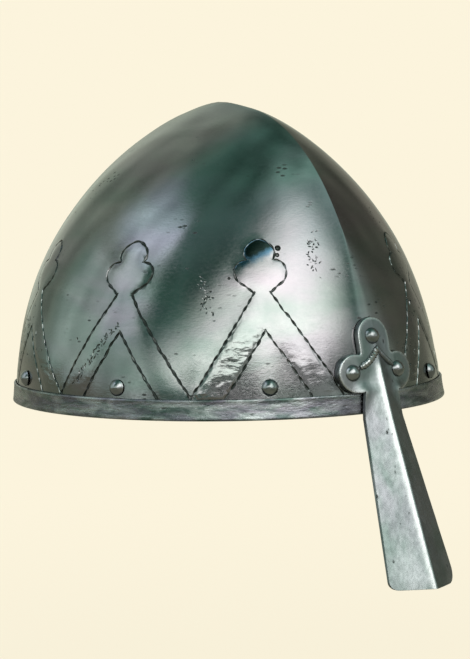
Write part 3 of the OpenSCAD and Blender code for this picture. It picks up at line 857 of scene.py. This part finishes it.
# How much each point of the front is lightened: rubbed bright along the edges, and a painted
# highlight in a strip beside the ridge and on the crest of one bead arm, both on the wearer's right
outline = [Vector(p) for p in guard_line]
rubbed_and_highlight = guard.data.attributes.new("rubbed_and_highlight", "FLOAT", "POINT")
for v, value in zip(guard.data.vertices, rubbed_and_highlight.data):
    x, z = v.co.x / MM - GUARD_SHIFT, v.co.z / MM
    if v.co.y / MM > guard_front(x, z) + 1.2:
        continue
    at, edge = Vector((x, z)), 9.0
    for a, b in zip(outline, outline[1:] + outline[:1]):
        step = b - a
        t = min(1, max(0, (at - a).dot(step) / step.length_squared))
        edge = min(edge, (a + step * t - at).length)
    # Painted highlight: a strip on the wearer's right of the ridge, and the crest of the bead's arm
    # on that side
    strip = ease(x, -3.6, -0.6) * ease(x, 0.15, -0.1) * ease(z, 24, 21)
    bead_top = 0.85 * ease(guard_front(x, z) - v.co.y / MM, 0.7, 1.2) * (x < 0)
    value.value = max(ease(edge, 1.4, 0.4) * (0.04 + 0.96 * ease(z, 4, 12)), strip, bead_top)

# Colour of the rubbed edges and of the painted highlights
RUBBED_AND_HIGHLIGHT_COLOUR = (0.32, 0.325, 0.325, 1)
guard_steel, tree, shader = steel(
    "guard_steel", (0.11, 0.135, 0.128, 1), (0.2, 0.212, 0.216, 1), (0.17, 0.16, 0.182, 1),
    (0.34, 0.46), (75, 520, 420), 0.24, (1, 1, 0.5))
bright = mark(tree, "rubbed_and_highlight")
feed(tree, shader, {
    "Base Color": blend(tree, bright, fed(shader, "Base Color"), RUBBED_AND_HIGHLIGHT_COLOUR),
    "Roughness": less(tree, fed(shader, "Roughness"), times(tree, bright, 0.16))})
dressed(guard, guard_steel)
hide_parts("nasal_guard")

# Rivets
# Round-headed steel rivets, set cold: a domed head outside, and inside the shank hammered
# down over a washer. Their heads are polished by handling and none is quite round.
HEAD_D, RIM_HEAD_H, GUARD_HEAD_H = 7.7, 2.75, 3
RIM_HEAD_SEAT, LONG_TAIL, TOP_TAIL = 0.1, 6.8, 5.1


def turned(profile):
    """Solid turned from a half profile of (radius, height) points, from axis to axis."""
    piece = made("rivet", bpy.ops.mesh.primitive_circle_add,
                 vertices=len(profile), radius=1, fill_type="NOTHING")
    for v, (r, z) in zip(piece.data.vertices, profile):
        v.co = (r, 0, z)
    for e in piece.data.edges:
        e.select = set(e.vertices) == {0, len(profile) - 1}
    for v in piece.data.vertices:
        v.select = v.index in (0, len(profile) - 1)
    bpy.ops.object.mode_set(mode="EDIT")
    bpy.ops.mesh.select_mode(type="EDGE")
    bpy.ops.mesh.delete(type="EDGE")
    bpy.ops.mesh.select_all(action="SELECT")
    bpy.ops.mesh.spin(steps=28, angle=2 * math.pi, center=(0, 0, 0), axis=(0, 0, 1))
    leave()
    outward(piece)
    return piece


def rivet(head_h, seat, depth):
    """Rivet along Z: its head stands at seat, its hammered tail ends at -depth."""
    radius = (HEAD_D**2 / 4 + head_h**2) / (2 * head_h)
    half = math.asin(HEAD_D / 2 / radius)
    head = [(radius * math.sin(half * (1 - k / 9)),
             seat + head_h - radius + radius * math.cos(half * (1 - k / 9))) for k in range(1, 9)]
    tail = [(0, 0), (1.9, 0.05), (2.5, 0.35), (2.7, 0.8), (2.6, 1.2), (1.6, 1.2)]
    under = [(1.6, seat - 0.02), (HEAD_D / 2 - 0.15, seat), (HEAD_D / 2, seat + 0.2)]
    piece = turned([(r, -depth + z) for r, z in tail] + under + head + [(0, seat + head_h)])
    shape(piece, lambda p: p * MM)
    return piece


def set_rivets(name, pattern, places):
    """Copies of one rivet, each turned and knocked about in its own way, at their places."""
    copies = []
    for k, (z, bearing) in enumerate(places):
        copy = pattern.copy()
        copy.data = pattern.data.copy()
        bpy.context.scene.collection.objects.link(copy)
        copy.data.transform(Matrix.Rotation(1.3 * k, 4, "Z"))
        shape(copy, lambda p: p - Vector((0, 0, 1)) * abs(ripple(p, 2.2 * MM, 0.16 * MM, k + 1))
              if p.z > 0.5 * MM else p)
        copy.data.transform(on_skin(z, bearing))
        copies.append(copy)
    bpy.data.objects.remove(pattern)
    piece = renamed(joined(copies), name)
    smooth(piece, 40)
    return piece


rivet_steel = steel("rivet_steel", (0.14, 0.16, 0.155, 1), (0.25, 0.26, 0.26, 1),
                    (0.18, 0.17, 0.185, 1), (0.14, 0.26), (180, 1500, 420), 0.12)[0]
rim_heads = set_rivets("rim_rivet_set", rivet(RIM_HEAD_H, RIM_HEAD_SEAT, LONG_TAIL), rim_places)
dressed(rim_heads, rivet_steel)
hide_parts("rim_rivets")
low_normal = facing(LOBE_Z, low_guard_places[1][1])
low_x = LOW_RIVET_X / MM
low_seat = (skin_y(low_x, lobe_z, 0) - arch_y(low_x, lobe_z, GUARD_OUT)) * -low_normal.y
top_head = set_rivets("guard_top_rivet", rivet(GUARD_HEAD_H, -GUARD_OUT, TOP_TAIL),
                      guard_places[:1])
low_heads = set_rivets("guard_low_rivets", rivet(GUARD_HEAD_H, low_seat, LONG_TAIL),
                       low_guard_places)
guard_heads = renamed(joined([top_head, low_heads]), "guard_rivet_set")
dressed(guard_heads, rivet_steel)
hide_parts("guard_rivets")
washer_steel = steel("washer_steel", (0.16, 0.165, 0.16, 1), (0.3, 0.3, 0.29, 1),
                     (0.2, 0.16, 0.12, 1), (0.35, 0.5), (200, 900, 400), 0.2)[0]
for node in ("rim_washers", "guard_washers"):
    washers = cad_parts[node]
    washers.data.materials.clear()
    washers.data.materials.append(washer_steel)

# Liner band
# A strip of tanned leather round the inside of the rim, which the rivets hold to the skull.
LINER_SECTION = [
    (8, 3.25), (8.1, 2.6), (8.6, 2.3), (10, 2.25), (15, 2.25), (20, 2.25), (25, 2.25),
    (27.4, 2.25), (28.4, 2.3), (28.9, 2.6), (29, 3.25), (28.9, 3.9), (28.4, 4.2), (27.4, 4.25),
    (25, 4.25), (20, 4.25), (15, 4.25), (10, 4.25), (8.6, 4.2), (8.1, 3.9)]


def supple(p, height, depth, bearing):
    return form(height * MM, bearing, depth * MM + ripple(p, 14 * MM, 0.05 * MM, 6))


liner = hoop("liner_strip", 240, LINER_SECTION, supple)
drilled(liner, rim_places + low_guard_places)
smooth(liner, 40)

hide, given, result = group("hide", ("Grain",), ("Creases", "Clouds", "Height"))
where = given["Vector"]
warped = wire(hide, "TexNoise", {"Vector": where, "Scale": 160, "Detail": 2})
warped = wire(hide, "VectorMath", {
    0: warped.outputs["Color"], 1: (0.004, 0.004, 0.004)}, operation="MULTIPLY").outputs[0]
warped = wire(hide, "VectorMath", {0: where, 1: warped}).outputs[0]
cells = wire(hide, "TexVoronoi", {"Vector": warped, "Scale": given["Grain"]},
             feature="DISTANCE_TO_EDGE").outputs["Distance"]
patchy = cloud(hide, where, 45, 5, 0.6, 0.5)
creases = spread(hide, cells, 0.12, 0.0)
feed(hide, result, {
    "Creases": creases, "Clouds": spread(hide, patchy, 0.3, 0.7),
    "Height": less(hide, times(hide, patchy, 0.4), times(hide, creases, 0.6))})


def leather(name, dark, pale, rough):
    finish, tree, shader = material(name)
    out = wire(tree, "Group", {"Vector": here(tree), "Grain": 900},
               node_tree=hide).outputs
    colour = blend(tree, out["Clouds"], dark, pale)
    colour = blend(tree, times(tree, out["Creases"], 0.45), colour,
                   tuple(0.45 * c for c in dark[:3]) + (1,))
    feed(tree, shader, {
        "Base Color": colour, "Roughness": spread(tree, out["Clouds"], 0, 1, *rough),
        "Normal": relief(tree, out["Height"], 0.5)})
    return finish


def sheet(piece, thick, round_edge, finish):
    """Gives a piece of leather its thickness, its rounded edges and its colour."""
    finish_with(piece, "SOLIDIFY", thickness=thick * MM, offset=-1)
    finish_with(piece, "BEVEL", width=round_edge * MM, segments=2, limit_method="ANGLE",
                angle_limit=math.radians(60))
    smooth(piece, 50)
    piece.data.materials.append(finish)


band_leather = leather("band_leather", (0.085, 0.042, 0.02, 1), (0.15, 0.078, 0.038, 1),
                       (0.5, 0.68))
dressed(liner, band_leather)
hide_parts("liner_band")

# Liner tongues
# Eight tongues of softer leather, sewn inside the liner band with waxed thread. They bend up
# along the dome, and their tips are sewn under the crown patch.
TONGUES, TONGUE_Z, TONGUE_TOP, TONGUE_AWAY = 8, 24.5, 131, 0.15
TONGUE_ROOT, TONGUE_TIP = 17.5, 12
TONGUE_OUT, TONGUE_IN = 4.5, 6.5
ROOT_SEAM_Z, ROOT_SEAM_WIDTH_Z, ROOT_STITCHES = 26.8, 27, 13
STITCH_HALF, THREAD_R, STITCH_SINK = 1.5 * MM, 0.42 * MM, 0.15
tongue_leather = leather("tongue_leather", (0.17, 0.092, 0.045, 1), (0.27, 0.155, 0.08, 1),
                         (0.55, 0.75))
thread, tree, shader = material("waxed_thread")
feed(tree, shader, {"Roughness": 0.6, "Base Color": blend(
    tree, cloud(tree, here(tree), 900, 3), (0.3, 0.24, 0.16, 1), (0.52, 0.44, 0.32, 1))})


def stitch(z, bearing, depth, ahead):
    """One stitch that lies on the leather along a direction, as a low six-sided grain."""
    piece = made("stitch", bpy.ops.mesh.primitive_uv_sphere_add,
                 segments=6, ring_count=5, radius=1)
    at = form(z * MM, bearing, (depth - STITCH_SINK) * MM)
    outer = facing(z * MM, bearing)
    along = (ahead - outer * ahead.dot(outer)).normalized()
    across = outer.cross(along)
    turn = Matrix((along * STITCH_HALF, across * THREAD_R, outer * THREAD_R)).transposed()
    piece.data.transform(Matrix.Translation(at) @ turn.to_4x4())
    return piece


def sewn(piece, stitches):
    """Joins a row of stitches to a piece."""
    row = joined(stitches)
    smooth(row, 60)
    row.data.materials.append(thread)
    return joined([piece, row])


def tongue_half(z):
    return TONGUE_ROOT + (TONGUE_TIP - TONGUE_ROOT) * (z - TONGUE_Z) / (TONGUE_TOP - TONGUE_Z)


for number in range(1, TONGUES + 1):
    middle = 360 * (number - 0.5) / TONGUES
    tongue = made(f"tongue_{number}", bpy.ops.mesh.primitive_grid_add,
                  x_subdivisions=10, y_subdivisions=40, size=2)

    def laid(p):
        """Place on the dome of a point of the flat tongue, whose corners are cut round."""
        climb = (p.y + 1) / 2
        narrow = 1 - 0.35 * max(0, (climb - 0.9) / 0.1) ** 2 - 0.12 * max(0, 1 - climb / 0.05) ** 2
        z = TONGUE_Z + (TONGUE_TOP - TONGUE_Z) * math.sin(math.pi / 2 * climb)
        bearing = middle - tongue_half(z) * narrow * p.x
        sag = ripple(form(z * MM, bearing, 0), 20 * MM, 0.15 * MM, number)
        return form(z * MM, bearing, (TONGUE_OUT + TONGUE_AWAY) * MM + sag)

    shape(tongue, laid)
    sheet(tongue, 1.6, 0.45, tongue_leather)
    row, half = [], tongue_half(ROOT_SEAM_WIDTH_Z)
    for k in range(ROOT_STITCHES):
        share = (k - 6) / 6.6
        at, after = (form(ROOT_SEAM_Z * MM, middle - half * s, 0) for s in (share, share + 0.01))
        row.append(stitch(ROOT_SEAM_Z, middle - half * share, TONGUE_IN, after - at))
    tongue = sewn(tongue, row)
    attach(tongue, "root")
    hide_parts(f"liner_tongue_{number}")

# Crown patch
# A round of thick leather over the tips of the tongues, which are sewn to it in one ring.
PATCH_Z, PATCH_OUT, PATCH_IN = 121, 6.75, 8.75
RING_SEAM_Z, RING_STITCHES = PATCH_Z + 2.6, 54
patch = dome("crown_leather", 96, 14, PATCH_Z * MM, PATCH_OUT * MM)
sheet(patch, 1.8, 0.5, band_leather)
row = []
for k in range(RING_STITCHES):
    bearing = 360 * k / RING_STITCHES
    at, after = (form(RING_SEAM_Z * MM, b, PATCH_IN * MM) for b in (bearing, bearing + 1))
    row.append(stitch(RING_SEAM_Z, bearing, PATCH_IN, after - at))
patch = sewn(patch, row)
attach(patch, "root")
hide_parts("crown_patch")

# Camera
# A long lens about a metre away, a little above the rim and 36 degrees round to the wearer's
# right, where the photographer stood.
CAM_AZIMUTH, CAM_TURN, CAM_PITCH, CAM_ROLL = (math.radians(a) for a in (36.38, 0.31, 4.44, -1.57))
CAM_REACH, CAM_HEIGHT, FOCAL_PIXELS, FRAME_HEIGHT = 0.998, 0.1101, 1992, 659
stand = Vector((-math.sin(CAM_AZIMUTH) * CAM_REACH, -math.cos(CAM_AZIMUTH) * CAM_REACH, CAM_HEIGHT))
yaw = CAM_AZIMUTH + CAM_TURN
lens = bpy.data.cameras.new("camera")
lens.lens = lens.sensor_width * FOCAL_PIXELS / FRAME_HEIGHT
camera = bpy.data.objects.new("camera", lens)
bpy.context.scene.collection.objects.link(camera)
camera.matrix_world = (
    Matrix.Translation(stand) @ Matrix.Rotation(-yaw, 4, "Z")
    @ Matrix.Rotation(math.pi / 2 - CAM_PITCH, 4, "X") @ Matrix.Rotation(CAM_ROLL, 4, "Z"))
bpy.context.scene.camera = camera

# Studio
# A cream sweep behind and below. The steel reflects one broad lit cloth in front over a
# table with a dark brink, a greenish cloth above, a wall at one side, and paler cloths.
CREAM, PAPER = (0.973, 0.905, 0.723, 1), (0.3, 0.28, 0.22, 1)
FLOOR_Z, FLOOR_R = -0.3, 30
world = bpy.data.worlds.new("studio")
bpy.context.scene.world = world
world.use_nodes = True
tree = world.node_tree
tree.nodes.clear()
direction = wire(tree, "TexCoord").outputs["Generated"]
x, y, z = wire(tree, "SeparateXYZ", {0: direction}).outputs
azimuth = times(tree, arctan2(tree, times(tree, x, -1), times(tree, y, -1)), math.degrees(1))
elevation = times(tree, arcsine(tree, z), math.degrees(1))


def lamp_edge(value, start, full, fade, end):
    """Share of light between two soft edges."""
    return times(tree, spread(tree, value, start, full), spread(tree, value, end, fade))


def window(across, tall):
    """Share of light in a soft window of bearings and elevations, in degrees."""
    return times(tree, lamp_edge(azimuth, *across), lamp_edge(elevation, *tall))


def toward(bearing, rise, low, high):
    """Share from 0 to 1 of how nearly a direction points some way."""
    a, e = math.radians(bearing), math.radians(rise)
    way = (-math.sin(a) * math.cos(e), -math.cos(a) * math.cos(e), math.sin(e))
    dot = wire(tree, "VectorMath", {0: direction, 1: way}, operation="DOT_PRODUCT")
    return spread(tree, dot.outputs["Value"], low, high)


def rays(tree):
    """Which rays arrive: the camera's, reflected ones, and scattered ones."""
    path = wire(tree, "LightPath").outputs
    shiny = most(tree, path["Is Glossy Ray"], path["Is Transmission Ray"])
    return path["Is Camera Ray"], shiny, path["Is Diffuse Ray"]


# The table's edge in front, ragged by what lies on it, sinks towards the wearer's right
table = less(tree, 16, times(tree, most(tree, less(tree, azimuth, 40), 0), 0.28))
uneven = less(tree, cloud(tree, direction, 11, 3, 0.65), 0.5)
above = plus(tree, less(tree, elevation, table), times(tree, uneven, 22))
near = lamp_edge(azimuth, -50, -30, 48, 64)
behind = plus(tree, spread(tree, azimuth, 144, 164), spread(tree, azimuth, -130, -165))

# What surrounds the helmet, each over the last, on the dark room
sky = (0.17, 0.36, 0.3, 1)
for share, colour, mode in (
        (toward(-27, 59, 0.88, 0.955), (0.6, 0.98, 0.88, 1), "MIX"),
        (toward(-95, 15, 0.5, 0.95), (0.22, 0.23, 0.18, 1), "MIX"),
        (times(tree, lamp_edge(azimuth, 86, 95, 142, 164), spread(tree, elevation, 68, 48)),
         (1.05, 1.3, 1.2, 1), "MIX"),
        (window((118, 132, 152, 178), (32, 38, 46, 52)), (0.5, 0.6, 0.54, 1), "MIX"),
        (times(tree, behind, spread(tree, elevation, 74, 46)), (0.5, 0.58, 0.48, 1), "MIX"),
        (window((88, 97, 128, 170), (38, 48, 55, 66)), (0.6, 0.65, 0.95, 1), "ADD"),
        (window((90, 98, 110, 122), (8, 16, 38, 48)), (0.55, 0.45, 0.65, 1), "ADD"),
        (times(tree, spread(tree, above, 2.5, -1.5), near), (1.0, 1.08, 1.02, 1), "MIX"),
        (times(tree, lamp_edge(above, -8, -4, -1, 1.5), near), (0.1, 0.14, 0.12, 1), "MIX"),
        (window((-76, -54, -38, -24), (-12, 2, 34, 52)), (0.5, 0.58, 0.55, 1), "ADD")):
    sky = blend(tree, share, sky, colour, mode)

# The broad lit cloth in front, whose far upper corner is cut off on a slant
SLANT = math.radians(50)
slope = plus(tree, times(tree, less(tree, azimuth, 15), math.cos(SLANT)),
             times(tree, less(tree, elevation, 30), math.sin(SLANT)))
front = times(tree, spread(tree, above, -1.5, 2.5), spread(tree, azimuth, -30, 7))
front = times(tree, front, times(tree, spread(tree, elevation, 73, 37),
                                 spread(tree, slope, 38, 7)))
streaks = cloud(tree, stretched(tree, direction, (4.5, 4.5, 1.3)), 1, 3, 0.55)
sky = blend(tree, 1, sky, spread(tree, streaks, 0.3, 0.7, 0.6, 1.4), "MULTIPLY")
sky = blend(tree, front, sky, (4.9, 4.9, 4.75, 1), "ADD")
straight, shiny, _ = rays(tree)
sweep = times(tree, toward(216, -12, 0.6, 0.95), 0.27)
shown = blend(tree, most(tree, straight, times(tree, shiny, sweep)), sky, CREAM)
background = wire(tree, "Background", {"Color": shown})
feed(tree, wire(tree, "OutputWorld"), {"Surface": background.outputs[0]})

floor = made("floor", bpy.ops.mesh.primitive_circle_add, vertices=96, radius=FLOOR_R,
             fill_type="NGON", location=(0, 0, FLOOR_Z))
paper, tree, shader = material("paper")
tree.nodes.remove(shader)
straight, shiny, scattered = rays(tree)
seen = most(tree, straight, times(tree, shiny, 0.2))
seen = most(tree, seen, times(tree, scattered, 0.7))
far = wire(tree, "VectorMath", {0: here(tree)}, operation="LENGTH").outputs["Value"]
lit = wire(tree, "BsdfDiffuse", {"Color": PAPER}).outputs[0]
cream = wire(tree, "Emission", {"Color": CREAM}).outputs[0]
share = times(tree, seen, spread(tree, far, 0.3, 1.6, 0.94, 1.0))
mixed = wire(tree, "MixShader", {0: share, 1: lit, 2: cream}).outputs[0]
feed(tree, tree.nodes["Material Output"], {"Surface": mixed})
floor.data.materials.append(paper)
bpy.context.scene.view_settings.view_transform = "Standard"
